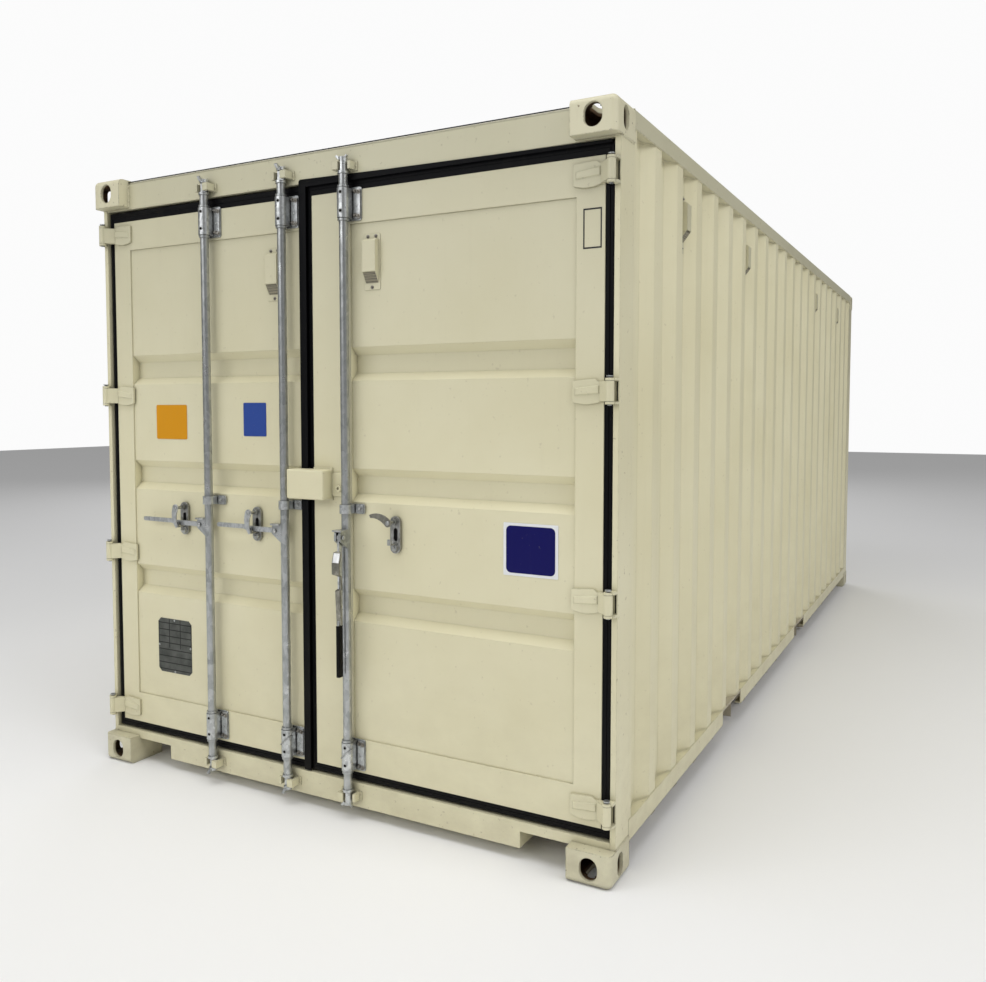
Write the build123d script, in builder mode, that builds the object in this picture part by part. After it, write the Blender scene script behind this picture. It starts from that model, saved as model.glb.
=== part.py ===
# Twenty foot freight container, eight foot six high, seen from its door end.
# Millimetres. Z is up, the length runs along Y and the doors face -Y.
# The origin is on the ground in the middle of the four bottom castings.
import math
import os
from build123d import *

os.makedirs("parts", exist_ok=True)

# Outside size of the container and of its corner castings
length = 6058
width = 2438
height = 2591
cast_long = 178
cast_wide = 162
cast_high = 118
corner_r = 22
half_w = width / 2
half_l = length / 2
door_plane = -half_l
front_plane = half_l
inner_x = half_w - cast_wide
inner_y = half_l - cast_long

# Door surround: where the leaves sit and how far the steel stands back
surround_y = door_plane + 52
leaf_y = door_plane + 60
leaf_thick = 50
leaf_back = leaf_y + leaf_thick
seat_y = leaf_back + 6
post_lip = 1195
post_seat = 1170
header_low = 2465
header_top = 2583
sill_high = 141
sill_low = 45
notch_low = 105
floor_top = 172
floor_thick = 28
rail_low = 98
rail_high = 170
roof_rail = 60

# Door leaves, placed by the lines on the photographed door end
leaf_edge = 1160
leaf_low = 180
leaf_top = 2416
left_inner = -103
right_inner = -47
panel_low = 313
panel_top = 2290
left_panel = (-1062, -113)
right_panel = (135, 1058)
swage_tops = (1828, 1365, 900)
swage_high = 128
swage_deep = 34
sheet = 2
skin_set = 5

# Hinges
pin_x = 1193
pin_y = -3005
pin_r = 7
hinge_levels = (246, 952, 1651, 2358)
eye_high = 66
lug_high = 9

# Lock gear
bar_r = 17
bar_y = leaf_y - 35
bars = ("left_outer", "left_inner", "right")
bar_x = {"left_outer": -580, "left_inner": -170, "right": 131}
toward = {"left_outer": -1, "left_inner": -1, "right": 1}
handle_z = 1108
pivot_out = 40
catch_up = 64
retainer_reach = {"left_outer": 172, "left_inner": 172, "right": 207}
handle_reach = {"left_outer": 386, "left_inner": 362, "right": 569}
grip_long = 192
cam_r = 18
hub_wide = 30
keeper_levels = (2500, 93)


def block(x0, x1, y0, y1, z0, z1, mode=Mode.ADD):
    with Locations(((x0 + x1) / 2, (y0 + y1) / 2, (z0 + z1) / 2)):
        Box(abs(x1 - x0), abs(y1 - y0), abs(z1 - z0), mode=mode)


def save(builder, name):
    builder.part.label = name
    export_step(builder.part, "parts/" + name + ".step")


# Corner castings: hollow blocks with a slot in each outer face
for top in (True, False):
    with BuildPart() as castings:
        z0 = height - cast_high if top else 0
        face = height if top else 0
        cx = half_w - cast_wide / 2
        cy = half_l - cast_long / 2
        cz = z0 + cast_high / 2
        with Locations((cx, cy, cz)):
            Box(cast_wide, cast_long, cast_high)
        outer_face = castings.faces().sort_by(Axis.Z)[-1 if top else 0]
        side_edge = outer_face.edges().sort_by(Axis.X)[-1]
        end_edge = outer_face.edges().sort_by(Axis.Y)[-1]
        upright = castings.edges().filter_by(Axis.Z).sort_by(Axis.X)[-2:].sort_by(Axis.Y)[-1]
        fillet([side_edge, end_edge, upright], corner_r)
        with Locations((cx, cy, cz + (-3 if top else 3))):
            Box(cast_wide - 32, cast_long - 32, cast_high - 50, mode=Mode.SUBTRACT)
        with BuildSketch(Plane.XY.offset(face)):
            with Locations((cx, cy)):
                SlotOverall(124, 63.5, rotation=90)
        extrude(amount=-40 if top else 40, mode=Mode.SUBTRACT)
        with BuildSketch(Plane((cx, half_l, cz), x_dir=(1, 0, 0), z_dir=(0, 1, 0))):
            SlotOverall(79, 63.5, rotation=90)
        extrude(amount=-30, mode=Mode.SUBTRACT)
        with BuildSketch(Plane((half_w, cy, cz), x_dir=(0, 1, 0), z_dir=(1, 0, 0))):
            SlotOverall(79, 51, rotation=90)
        extrude(amount=-30, mode=Mode.SUBTRACT)
        mirror(about=Plane.XZ)
        mirror(about=Plane.YZ)
    save(castings, "corner_castings_top" if top else "corner_castings_bottom")

# Rear corner posts: a pressed section with a step for the door seal
with BuildPart() as rear_corner_posts:
    with BuildSketch(Plane.XY.offset(cast_high)):
        with BuildLine():
            Polyline(
                (half_w - 4, surround_y),
                (post_lip, surround_y),
                (post_lip, seat_y),
                (post_seat, seat_y),
                (post_seat, -inner_y),
                (half_w - 4, -inner_y),
                close=True,
            )
        make_face()
        offset(amount=-6, mode=Mode.SUBTRACT)
    extrude(amount=height - 2 * cast_high)
    mirror(about=Plane.YZ)
save(rear_corner_posts, "rear_corner_posts")

# Front corner posts: an open pressed angle behind each front casting
with BuildPart() as front_corner_posts:
    with BuildSketch(Plane.XY.offset(cast_high)):
        with BuildLine():
            Polyline(
                (half_w - 4, inner_y),
                (half_w - 4, front_plane - 26),
                (half_w - 26, front_plane - 4),
                (inner_x, front_plane - 4),
                (inner_x, front_plane - 10),
                (half_w - 29, front_plane - 10),
                (half_w - 10, front_plane - 29),
                (half_w - 10, inner_y),
                close=True,
            )
        make_face()
    extrude(amount=height - 2 * cast_high)
    mirror(about=Plane.YZ)
save(front_corner_posts, "front_corner_posts")

# Header over the doors, a closed box section with a step for the seal
with BuildPart() as door_header:
    with BuildSketch(Plane.YZ.offset(-inner_x)):
        with BuildLine():
            Polyline(
                (surround_y, header_low),
                (surround_y, header_top - 12),
                (surround_y + 10, header_top),
                (-inner_y, header_top),
                (-inner_y, header_low - 13),
                (seat_y, header_low - 13),
                (seat_y, header_low),
                close=True,
            )
        make_face()
        offset(amount=-5, mode=Mode.SUBTRACT)
    extrude(amount=2 * inner_x)
    for s in (-1, 1):
        block(s * inner_x, s * post_lip, surround_y, seat_y, header_low, height - cast_high)
save(door_header, "door_header")

# Sill under the doors, cut up beside each casting
with BuildPart() as door_sill:
    with BuildSketch(Plane.YZ.offset(-inner_x)):
        with BuildLine():
            Polyline(
                (surround_y, sill_low),
                (surround_y, sill_high),
                (seat_y, sill_high),
                (seat_y, floor_top),
                (-inner_y, floor_top),
                (-inner_y, sill_low),
                close=True,
            )
        make_face()
        offset(amount=-5, mode=Mode.SUBTRACT)
    extrude(amount=2 * inner_x)
    for s in (-1, 1):
        block(s * 860, s * inner_x, surround_y, -inner_y, sill_low, notch_low, Mode.SUBTRACT)
        block(s * 855, s * inner_x, surround_y, -inner_y, notch_low, notch_low + 5)
        block(s * 855, s * 860, surround_y, -inner_y, sill_low, notch_low + 5)
        block(s * inner_x, s * post_lip, surround_y, seat_y, cast_high, sill_high)
save(door_sill, "door_sill")

# Front end rails
with BuildPart() as front_top_rail:
    block(-inner_x, inner_x, front_plane - 70, front_plane - 10, 2523, 2583)
    block(-inner_x, inner_x, front_plane - 67, front_plane - 13, 2526, 2580, Mode.SUBTRACT)
save(front_top_rail, "front_top_rail")

with BuildPart() as front_bottom_rail:
    block(-inner_x, inner_x, front_plane - 70, front_plane - 10, 28, 150)
    block(-inner_x, inner_x, front_plane - 66, front_plane - 14, 32, 146, Mode.SUBTRACT)
save(front_bottom_rail, "front_bottom_rail")

# Side rails: square tubes at the roof, channels at the floor
with BuildPart() as top_side_rails:
    for s in (-1, 1):
        out = s * (half_w - 2)
        inn = s * (half_w - 2 - roof_rail)
        block(inn, out, -inner_y, inner_y, header_top - roof_rail, header_top)
        block(inn + s * 3, out - s * 3, -inner_y, inner_y, 2526, 2580, Mode.SUBTRACT)
save(top_side_rails, "top_side_rails")

pocket_ys = (-1344, 549)
pocket_w = 360
pocket_low = 23
pocket_top = 138
with BuildPart() as bottom_side_rails:
    with BuildSketch(Plane.XZ.offset(-inner_y)):
        with BuildLine():
            Polyline(
                (half_w - 50, rail_high),
                (half_w - 3, rail_high),
                (half_w - 3, rail_low),
                (half_w - 33, rail_low),
                (half_w - 33, rail_low + 5),
                (half_w - 8, rail_low + 5),
                (half_w - 8, rail_high - 5),
                (half_w - 50, rail_high - 5),
                close=True,
            )
        make_face()
    extrude(amount=2 * inner_y)
    for y in pocket_ys:
        y0 = y - pocket_w / 2
        y1 = y + pocket_w / 2
        block(half_w - 60, half_w, y0 - 4, y1 + 4, rail_low - 1, rail_high + 1, Mode.SUBTRACT)
    mirror(about=Plane.YZ)
save(bottom_side_rails, "bottom_side_rails")

# Corrugated side walls: one folded sheet from casting to casting
wave = 272
wave_count = 21
wave_deep = 36
slope = 66
trough = 70
wall_start = (2 * inner_y - (wave_count * wave - (wave - 2 * slope - trough))) / 2


def wall_line(s, skin):
    outer = half_w - 6 - skin
    inner = outer - wave_deep
    pts = [(s * outer, -inner_y)]
    for k in range(wave_count):
        y = -inner_y + wall_start + k * wave
        pts += [(s * outer, y), (s * inner, y + slope)]
        pts += [(s * inner, y + slope + trough), (s * outer, y + 2 * slope + trough)]
    pts.append((s * outer, inner_y))
    return pts


for s, name in ((-1, "left_side_wall"), (1, "right_side_wall")):
    with BuildPart() as side_wall:
        with BuildSketch(Plane.XY.offset(rail_high)):
            with BuildLine():
                Polyline(*wall_line(s, 0), *reversed(wall_line(s, sheet)), close=True)
            make_face()
        extrude(amount=header_top - roof_rail - rail_high)
    save(side_wall, name)

# Corrugated front wall
end_wave = 250
end_count = 8


def end_line(skin):
    edge = (2 * inner_x - (end_count * end_wave - 60)) / 2
    outer = front_plane - 12 - skin
    inner = outer - 45
    pts = [(-inner_x, outer)]
    for k in range(end_count):
        x = -inner_x + edge + k * end_wave
        pts += [(x, outer), (x + 40, inner), (x + 150, inner), (x + 190, outer)]
    pts.append((inner_x, outer))
    return pts


with BuildPart() as front_wall:
    with BuildSketch(Plane.XY.offset(150)):
        with BuildLine():
            Polyline(*end_line(0), *reversed(end_line(sheet)), close=True)
        make_face()
    extrude(amount=2523 - 150)
save(front_wall, "front_wall")

# Roof: ribs run across, between the top rails
roof_wave = 209
roof_count = 27


def roof_line(skin):
    edge = (2 * inner_y - (roof_count * roof_wave - 91)) / 2
    high = header_top - skin
    low = high - 20
    pts = [(-inner_y, high)]
    for k in range(roof_count):
        y = -inner_y + edge + k * roof_wave
        pts += [(y, high), (y + 14, low), (y + 104, low), (y + 118, high)]
    pts.append((inner_y, high))
    return pts


with BuildPart() as roof_panel:
    with BuildSketch(Plane.YZ.offset(-(half_w - 2 - roof_rail))):
        with BuildLine():
            Polyline(*roof_line(0), *reversed(roof_line(sheet)), close=True)
        make_face()
    extrude(amount=2 * (half_w - 2 - roof_rail))
    block(-inner_x, inner_x, inner_y, front_plane - 70, header_top - 4, header_top)
save(roof_panel, "roof_panel")

# Floor boards on the cross members
with BuildPart() as floor_boards:
    for k in range(5):
        y0 = -inner_y + 1 + k * 1162
        y1 = min(y0 + 1159, front_plane - 74)
        for s in (-1, 1):
            block(s * 1.5, s * 1168, y0, y1, floor_top - floor_thick, floor_top)
save(floor_boards, "floor_boards")

member_top = floor_top - floor_thick
member_ys = [-2745, -2450, -2155, -1860, -885, -590, -295, 0]
member_ys += [1000, 1295, 1590, 1885, 2180, 2475, 2740]
with BuildPart() as cross_members:
    for y in member_ys:
        block(-1168, 1168, y, y + 4, 22, member_top)
        block(-1168, 1168, y + 4, y + 45, 22, 26)
        block(-1168, 1168, y + 4, y + 45, member_top - 4, member_top)
save(cross_members, "cross_members")

with BuildPart() as fork_pockets:
    for y in pocket_ys:
        y0 = y - pocket_w / 2
        y1 = y + pocket_w / 2
        block(-1168, 1168, y0 - 4, y0, 22, member_top)
        block(-1168, 1168, y1, y1 + 4, 22, member_top)
        block(-1168, 1168, y0, y1, pocket_top, member_top)
        for s in (-1, 1):
            block(s * 900, s * 1100, y0 - 4, y1 + 4, 17, pocket_low)
            block(s * (half_w - 50), s * (half_w - 3), y0 - 4, y1 + 4, rail_high - 10, rail_high)
save(fork_pockets, "fork_pockets")

# Hinge lugs on the posts and the pins through them
with BuildPart() as hinge_lugs:
    for s in (-1, 1):
        for z in hinge_levels:
            for z0 in (z - eye_high / 2 - lug_high - 1, z + eye_high / 2 + 1):
                with BuildSketch(Plane.XY.offset(z0)):
                    with Locations((s * pin_x, pin_y)):
                        Circle(15)
                    with Locations((s * (pin_x + 12), (pin_y + surround_y) / 2)):
                        Rectangle(20, surround_y - pin_y)
                    with Locations((s * pin_x, pin_y)):
                        Circle(pin_r, mode=Mode.SUBTRACT)
                extrude(amount=lug_high)
save(hinge_lugs, "hinge_lugs")

with BuildPart() as hinge_pins:
    for s in (-1, 1):
        for z in hinge_levels:
            with Locations((s * pin_x, pin_y, z)):
                Cylinder(pin_r, eye_high + 28)
                with Locations((0, 0, eye_high / 2 + 14)):
                    Cylinder(pin_r + 4, 4, align=(Align.CENTER, Align.CENTER, Align.MIN))
save(hinge_pins, "hinge_pins")

# Keepers on the header and the sill: a plate, two arms and one hooked finger
with BuildPart() as cam_keepers:
    for name in bars:
        x = bar_x[name]
        s = -toward[name]
        for z in keeper_levels:
            block(x - 48, x + 48, surround_y - 4, surround_y, z - 17, z + 17)
            block(x - 27, x - 39, bar_y - 10, surround_y - 4, z - 15, z + 15)
            block(x + 27, x + 39, bar_y - 10, surround_y - 4, z - 15, z + 15)
            block(x + s * 27, x + s * 39, bar_y - 20, bar_y - 10, z - 15, z + 15)
            block(x + s * 11, x + s * 27, bar_y - 20, bar_y - 6, z - 15, z + 15)
save(cam_keepers, "cam_keepers")

# Hooded vents in four of the wall's troughs on each side
vent_low = 2258
vent_high = 2410
with BuildPart() as side_vents:
    for k in (2, 6, 14, 18):
        y = -inner_y + wall_start + k * wave + slope + trough / 2
        with BuildSketch(Plane.XZ.offset(-(y - 27))) as hood:
            with BuildLine():
                Polyline(
                    (half_w - 42, vent_low),
                    (half_w - 8, vent_low + 44),
                    (half_w - 8, vent_high - 8),
                    (half_w - 16, vent_high),
                    (half_w - 42, vent_high),
                    close=True,
                )
            make_face()
        extrude(hood.sketch, amount=-54)
        with BuildSketch(Plane.XZ.offset(-(y - 25))) as hollow:
            with BuildLine():
                Polyline(
                    (half_w - 41, vent_low - 5),
                    (half_w - 10, vent_low + 35),
                    (half_w - 10, vent_high - 9),
                    (half_w - 17, vent_high - 2),
                    (half_w - 41, vent_high - 2),
                    close=True,
                )
            make_face()
        extrude(hollow.sketch, amount=-50, mode=Mode.SUBTRACT)
        block(half_w - 42, half_w - 40, y - 33, y + 33, vent_low - 40, vent_high + 34)
    mirror(about=Plane.YZ)
save(side_vents, "side_vents")


# Door leaves
def leaf_panel(x0, x1):
    # pressed sheet: flats stand forward, three swages go in
    out = leaf_y + skin_set
    pts = [(out, panel_top)]
    for top in swage_tops:
        low = top - swage_high
        pts += [(out, top), (out + swage_deep, top - 30)]
        pts += [(out + swage_deep, low + 30), (out, low)]
    pts.append((out, panel_low))
    back = [(y + sheet, z) for y, z in reversed(pts)]
    with BuildSketch(Plane.YZ.offset(x0)) as profile:
        with BuildLine():
            Polyline(*pts, *back, close=True)
        make_face()
    extrude(profile.sketch, amount=x1 - x0)


def leaf_frame(x0, x1, panel):
    block(x0, x1, leaf_y, leaf_back, leaf_low, leaf_top)
    block(panel[0], panel[1], leaf_y, leaf_back, panel_low, panel_top, Mode.SUBTRACT)


def leaf_gasket(x0, x1, seal0, seal1):
    block(seal0, seal1, leaf_y + 4, leaf_back - 1, leaf_low - 31, leaf_top + 41)
    block(x0, x1, leaf_y, leaf_back, leaf_low, leaf_top, Mode.SUBTRACT)


def hinge_blades(s):
    for z in hinge_levels:
        with BuildSketch(Plane.XY.offset(z - eye_high / 2)) as eye:
            with Locations((s * pin_x, pin_y)):
                Circle(15)
            with BuildLine():
                Polyline(
                    (s * pin_x, pin_y + 15),
                    (s * (pin_x - 22), leaf_y - 1),
                    (s * (pin_x - 33), leaf_y),
                    (s * (pin_x - 46), leaf_y),
                    (s * (pin_x - 46), leaf_y - 10),
                    (s * (pin_x - 12), pin_y - 6),
                    close=True,
                )
            make_face()
            with Locations((s * pin_x, pin_y)):
                Circle(pin_r + 0.5, mode=Mode.SUBTRACT)
        extrude(eye.sketch, amount=eye_high)
        with BuildSketch(Plane.XZ.offset(-leaf_y)) as blade:
            with BuildLine():
                Polyline(
                    (s * (pin_x - 40), z - eye_high / 2),
                    (s * (pin_x - 40), z + eye_high / 2),
                    (s * (pin_x - 52), z + eye_high / 2),
                    (s * (pin_x - 62), z + 42),
                    (s * (pin_x - 143), z + 36),
                    (s * (pin_x - 143), z - 34),
                )
                tip = (s * (pin_x - 143), z - 34)
                ThreePointArc(tip, (s * (pin_x - 95), z - 43), (s * (pin_x - 40), z - eye_high / 2))
            make_face()
        extrude(blade.sketch, amount=9)
        with BuildSketch(Plane.XZ.offset(-leaf_y + 9)) as ridge:
            with BuildLine():
                Polyline(
                    (s * (pin_x - 46), z + 22),
                    (s * (pin_x - 134), z + 12),
                    (s * (pin_x - 134), z - 14),
                    (s * (pin_x - 46), z - 8),
                    close=True,
                )
            make_face()
        extrude(ridge.sketch, amount=4, taper=40)


def sleeve(x, z, tall):
    # a strap bent round the bar, its two legs standing on the base plate
    with BuildSketch(Plane.XY.offset(z - tall / 2)) as strap:
        with Locations((x, bar_y)):
            Circle(bar_r + 7)
        with Locations((x, (bar_y + leaf_y - 5) / 2)):
            Rectangle(2 * bar_r + 14, leaf_y - 5 - bar_y)
        with Locations((x, bar_y)):
            Circle(bar_r + 1, mode=Mode.SUBTRACT)
    extrude(strap.sketch, amount=tall)


def brackets(x):
    for z in (2362, 252):
        with BuildSketch(Plane.XZ.offset(-leaf_y)) as base:
            with Locations((x + 19, z)):
                RectangleRounded(84, 124, 9)
        extrude(base.sketch, amount=5)
        with BuildSketch(Plane.XZ.offset(-leaf_y + 5)) as bolt_pad:
            with Locations((x + 43, z)):
                RectangleRounded(30, 112, 8)
        extrude(bolt_pad.sketch, amount=5)
        sleeve(x, z, 110)
    z = 1212
    with BuildSketch(Plane.XZ.offset(-leaf_y)) as guide:
        with Locations((x + 22, z)):
            RectangleRounded(88, 38, 9)
    extrude(guide.sketch, amount=5)
    with BuildSketch(Plane.XZ.offset(-leaf_y + 5)) as ear:
        with Locations((x + 45, z)):
            RectangleRounded(34, 34, 8)
    extrude(ear.sketch, amount=4)
    sleeve(x, z, 34)


def retainer(x):
    # a long plate with an eye at the top, a slot behind the handle and a bolt lug below
    with BuildSketch(Plane.XZ.offset(-leaf_y)) as plate:
        with Locations((x, handle_z + 15)):
            SlotOverall(140, 44, rotation=90)
        with Locations((x + 2, handle_z + 16)):
            SlotOverall(50, 18, rotation=90, mode=Mode.SUBTRACT)
    extrude(plate.sketch, amount=8)
    with BuildSketch(Plane.XZ.offset(-leaf_y + 8)) as lower_lobe:
        with Locations((x, handle_z - 34)):
            Circle(15)
    extrude(lower_lobe.sketch, amount=8, taper=12)
    # hook: a floor under the handle and a lip in front of it
    block(x - 8, x + 8, bar_y - 14, leaf_y - 8, handle_z - 20, handle_z - 15)
    block(x - 8, x + 8, bar_y - 14, bar_y - 9, handle_z - 20, handle_z + 2)
    block(x - 8, x + 8, leaf_y - 12, leaf_y - 8, handle_z - 28, handle_z - 20)
    with Locations(Plane((x, leaf_y - 8, handle_z + catch_up), z_dir=(0, -1, 0))):
        Cylinder(11, 14, align=(Align.CENTER, Align.CENTER, Align.MIN))
        Cylinder(6, 51, align=(Align.CENTER, Align.CENTER, Align.MIN))


def door_vent(x0, x1, z0, z1):
    out = leaf_y + skin_set
    with BuildSketch(Plane.YZ.offset(x0)) as hood:
        with BuildLine():
            Polyline((out, z0), (out - 26, z0 + 45), (out - 26, z1 - 8), (out - 18, z1), (out, z1), close=True)
        make_face()
    extrude(hood.sketch, amount=x1 - x0)
    with BuildSketch(Plane.YZ.offset(x0 + 2)) as hollow:
        with BuildLine():
            Polyline((out, z0 - 8), (out - 24, z0 + 36), (out - 24, z1 - 9), (out, z1 - 2), close=True)
        make_face()
    extrude(hollow.sketch, amount=x1 - x0 - 4, mode=Mode.SUBTRACT)
    with BuildSketch(Plane.XZ.offset(-out)) as back_plate:
        with Locations(((x0 + x1) / 2, (z0 + z1) / 2)):
            RectangleRounded(x1 - x0 + 14, z1 - z0 + 44, 6)
    extrude(back_plate.sketch, amount=2)


with BuildPart() as left_door_frame:
    leaf_frame(-leaf_edge, left_inner, left_panel)
save(left_door_frame, "left_door_frame")
with BuildPart() as left_door_panel:
    leaf_panel(*left_panel)
save(left_door_panel, "left_door_panel")
with BuildPart() as left_door_gasket:
    leaf_gasket(-leaf_edge, left_inner, -leaf_edge - 27, left_inner + 23)
save(left_door_gasket, "left_door_gasket")
with BuildPart() as left_hinge_blades:
    hinge_blades(-1)
save(left_hinge_blades, "left_hinge_blades")
with BuildPart() as left_bar_brackets:
    brackets(bar_x["left_outer"])
    brackets(bar_x["left_inner"])
save(left_bar_brackets, "left_bar_brackets")
with BuildPart() as left_handle_retainers:
    retainer(bar_x["left_outer"] - retainer_reach["left_outer"])
    retainer(bar_x["left_inner"] - retainer_reach["left_inner"])
save(left_handle_retainers, "left_handle_retainers")
with BuildPart() as left_door_vent:
    door_vent(-270, -210, 2045, 2210)
save(left_door_vent, "left_door_vent")

with BuildPart() as right_door_frame:
    leaf_frame(right_inner, leaf_edge, right_panel)
save(right_door_frame, "right_door_frame")
with BuildPart() as right_door_panel:
    leaf_panel(*right_panel)
save(right_door_panel, "right_door_panel")
with BuildPart() as right_door_gasket:
    leaf_gasket(right_inner, leaf_edge, right_inner - 23, leaf_edge + 27)
save(right_door_gasket, "right_door_gasket")
with BuildPart() as right_hinge_blades:
    hinge_blades(1)
save(right_hinge_blades, "right_hinge_blades")
with BuildPart() as right_bar_brackets:
    brackets(bar_x["right"])
save(right_bar_brackets, "right_bar_brackets")
with BuildPart() as right_handle_retainer:
    retainer(bar_x["right"] + retainer_reach["right"])
save(right_handle_retainer, "right_handle_retainer")
with BuildPart() as right_door_vent:
    door_vent(204, 264, 2060, 2225)
save(right_door_vent, "right_door_vent")

# Lock box on the right leaf's stile, lapping over the left leaf
with BuildPart() as lock_box:
    block(-132, 46, -3038, leaf_y - 7, 1243, 1359)
    fillet(lock_box.edges().filter_by(Axis.X).sort_by(Axis.Y)[:2], 6)
    fillet(lock_box.edges().filter_by(Axis.Z).sort_by(Axis.Y)[:2], 8)
    block(-128, 42, -3034, leaf_y - 7, 1239, 1355, Mode.SUBTRACT)
    block(-45, 46, leaf_y - 7, leaf_y, 1239, 1366)
    with BuildSketch(Plane.XZ.offset(-leaf_y)) as side_plate:
        with Locations((72, 1301)):
            RectangleRounded(70, 92, 24)
    extrude(side_plate.sketch, amount=8)
    with BuildSketch(Plane.XZ.offset(-leaf_y + 8)) as eye_boss:
        with Locations((78, 1286)):
            Circle(13)
            Circle(6, mode=Mode.SUBTRACT)
    extrude(eye_boss.sketch, amount=6)
save(lock_box, "lock_box")

# Lock bars, their cams and handles. The right bar stands a quarter turn open
# with its handle hanging; the left bars are locked and their handles level.
for name in bars:
    x = bar_x[name]
    side = toward[name]
    turned = name == "right"
    out_dir = (0, -1, 0) if turned else (side, 0, 0)
    hub = Plane((x, bar_y, handle_z), x_dir=out_dir, z_dir=(0, 0, 1))
    tube_low = keeper_levels[1] + 30
    tube_top = keeper_levels[0] - 30
    with BuildPart() as lock_bar:
        with Locations((x, bar_y, tube_low)):
            Cylinder(bar_r, tube_top - tube_low, align=(Align.CENTER, Align.CENTER, Align.MIN))
        for z in (2362, 252):
            for step in (-61, 61):
                with Locations((x, bar_y, z + step)):
                    Cylinder(bar_r + 5, 9)
        cheek = Plane(hub.origin, x_dir=out_dir, z_dir=-hub.y_dir)
        with BuildSketch(cheek.offset(-hub_wide / 2)) as gusset:
            with BuildLine():
                Polyline(
                    (0, 30),
                    (pivot_out + 8, 24),
                    (pivot_out + 15, 16),
                    (pivot_out + 15, -12),
                    (pivot_out + 2, -22),
                    (0, -52),
                    close=True,
                )
            make_face()
        extrude(gusset.sketch, amount=hub_wide)
        with BuildSketch(hub.offset(-40)) as gap:
            with Locations((pivot_out + 6, 0)):
                Rectangle(40, 10)
        extrude(gap.sketch, amount=80, mode=Mode.SUBTRACT)
        with Locations((x, bar_y, tube_low - 1)):
            Cylinder(bar_r - 3, tube_top - tube_low + 2, align=(Align.CENTER, Align.CENTER, Align.MIN), mode=Mode.SUBTRACT)
        with Locations(hub.location * Location((pivot_out, 0, 0), (90, 0, 0))):
            Cylinder(5, hub_wide + 8)
    save(lock_bar, name + "_bar")

    cam_back = (side, 0, 0) if turned else (0, 1, 0)
    with BuildPart() as lock_cams:
        for z in keeper_levels:
            cam = Plane((x, bar_y, z), x_dir=cam_back, z_dir=(0, 0, 1))
            with BuildSketch(cam.offset(-20)) as full:
                Circle(cam_r)
            extrude(full.sketch, amount=40)
            with BuildSketch(cam.offset(-21)) as open_half:
                with Locations((-cam_r, 0)):
                    Rectangle(2 * cam_r, 2 * cam_r + 2)
            extrude(open_half.sketch, amount=42, mode=Mode.SUBTRACT)
            cap = 20 if z > handle_z else -32
            with BuildSketch(cam.offset(cap)) as end:
                Circle(cam_r - 1)
            extrude(end.sketch, amount=12)
            up = 1 if z > handle_z else -1
            side_on = Plane((x, bar_y, z), x_dir=cam_back, z_dir=cam.y_dir)
            flip = up * (1 if side_on.y_dir.Z > 0 else -1)
            with BuildSketch(side_on.offset(-6)) as horns:
                with BuildLine():
                    Polyline(
                        (-33, flip * 38),
                        (-27, flip * 42),
                        (-12, flip * 33),
                        (9, flip * 33),
                        (17, flip * 40),
                        (21, flip * 36),
                        (14, flip * 24),
                        (-20, flip * 24),
                        close=True,
                    )
                make_face()
            extrude(horns.sketch, amount=12)
            neck = -30 if z > handle_z else 20
            with BuildSketch(cam.offset(neck)) as collar:
                Circle(bar_r + 4)
            extrude(collar.sketch, amount=10)
    save(lock_cams, name + "_cams")

    reach = handle_reach[name] - pivot_out
    jog = reach - grip_long - 4 if turned else retainer_reach[name] - pivot_out + 44
    pivot = hub.origin + Vector(*out_dir) * pivot_out
    down = (0, 0, -1)
    if turned:
        swing = Plane(pivot, x_dir=down, z_dir=(-1, 0, 0))
    else:
        swing = Plane(pivot, x_dir=out_dir, z_dir=(0, 1, 0))
    with BuildPart() as handle:
        with BuildSketch(swing.offset(-4)) as blade:
            Circle(13)
            with BuildLine():
                Polyline(
                    (0, -10),
                    (jog - 24, -10),
                    (jog, -3),
                    (reach - 6, -3),
                    (reach, 3),
                    (reach, 9),
                    (reach - 6, 15),
                    (jog, 15),
                    (jog - 24, 10),
                    (0, 10),
                    close=True,
                )
            make_face()
            Circle(5.5, mode=Mode.SUBTRACT)
        extrude(blade.sketch, amount=8)
    save(handle, name + "_handle")

    rx = x + side * retainer_reach[name]
    angle = math.radians(160 if turned else 270)
    along = (math.cos(angle), 0, math.sin(angle))
    pin = Plane((rx, bar_y - 19, handle_z + catch_up), x_dir=along, z_dir=(0, -1, 0))
    with BuildPart() as catch:
        with BuildSketch(pin) as arm:
            Circle(15)
            with BuildLine():
                ThreePointArc((-3, -14.5), (44, -19), (86, 3))
                Line((86, 3), (78, 12))
                ThreePointArc((78, 12), (44, 4), (5, 14))
                Line((5, 14), (-3, -14.5))
            make_face()
            Circle(6.5, mode=Mode.SUBTRACT)
        extrude(arm.sketch, amount=5)
    save(catch, name + "_catch")

# Moulded sleeve on the end of the right handle
with BuildPart() as right_handle_grip:
    gx = bar_x["right"]
    gy = bar_y - pivot_out
    tip_z = handle_z - (handle_reach["right"] - pivot_out)
    block(gx - 8, gx + 8, gy - 19, gy + 7, tip_z - 5, tip_z + grip_long)
    fillet(right_handle_grip.edges().filter_by(Axis.Z), 4)
    block(gx - 4, gx + 4, gy - 15.2, gy + 3.2, tip_z - 0.2, tip_z + grip_long + 1, Mode.SUBTRACT)
save(right_handle_grip, "right_handle_grip")
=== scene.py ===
import math
import bmesh
import bpy
from mathutils import Matrix, Vector


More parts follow.
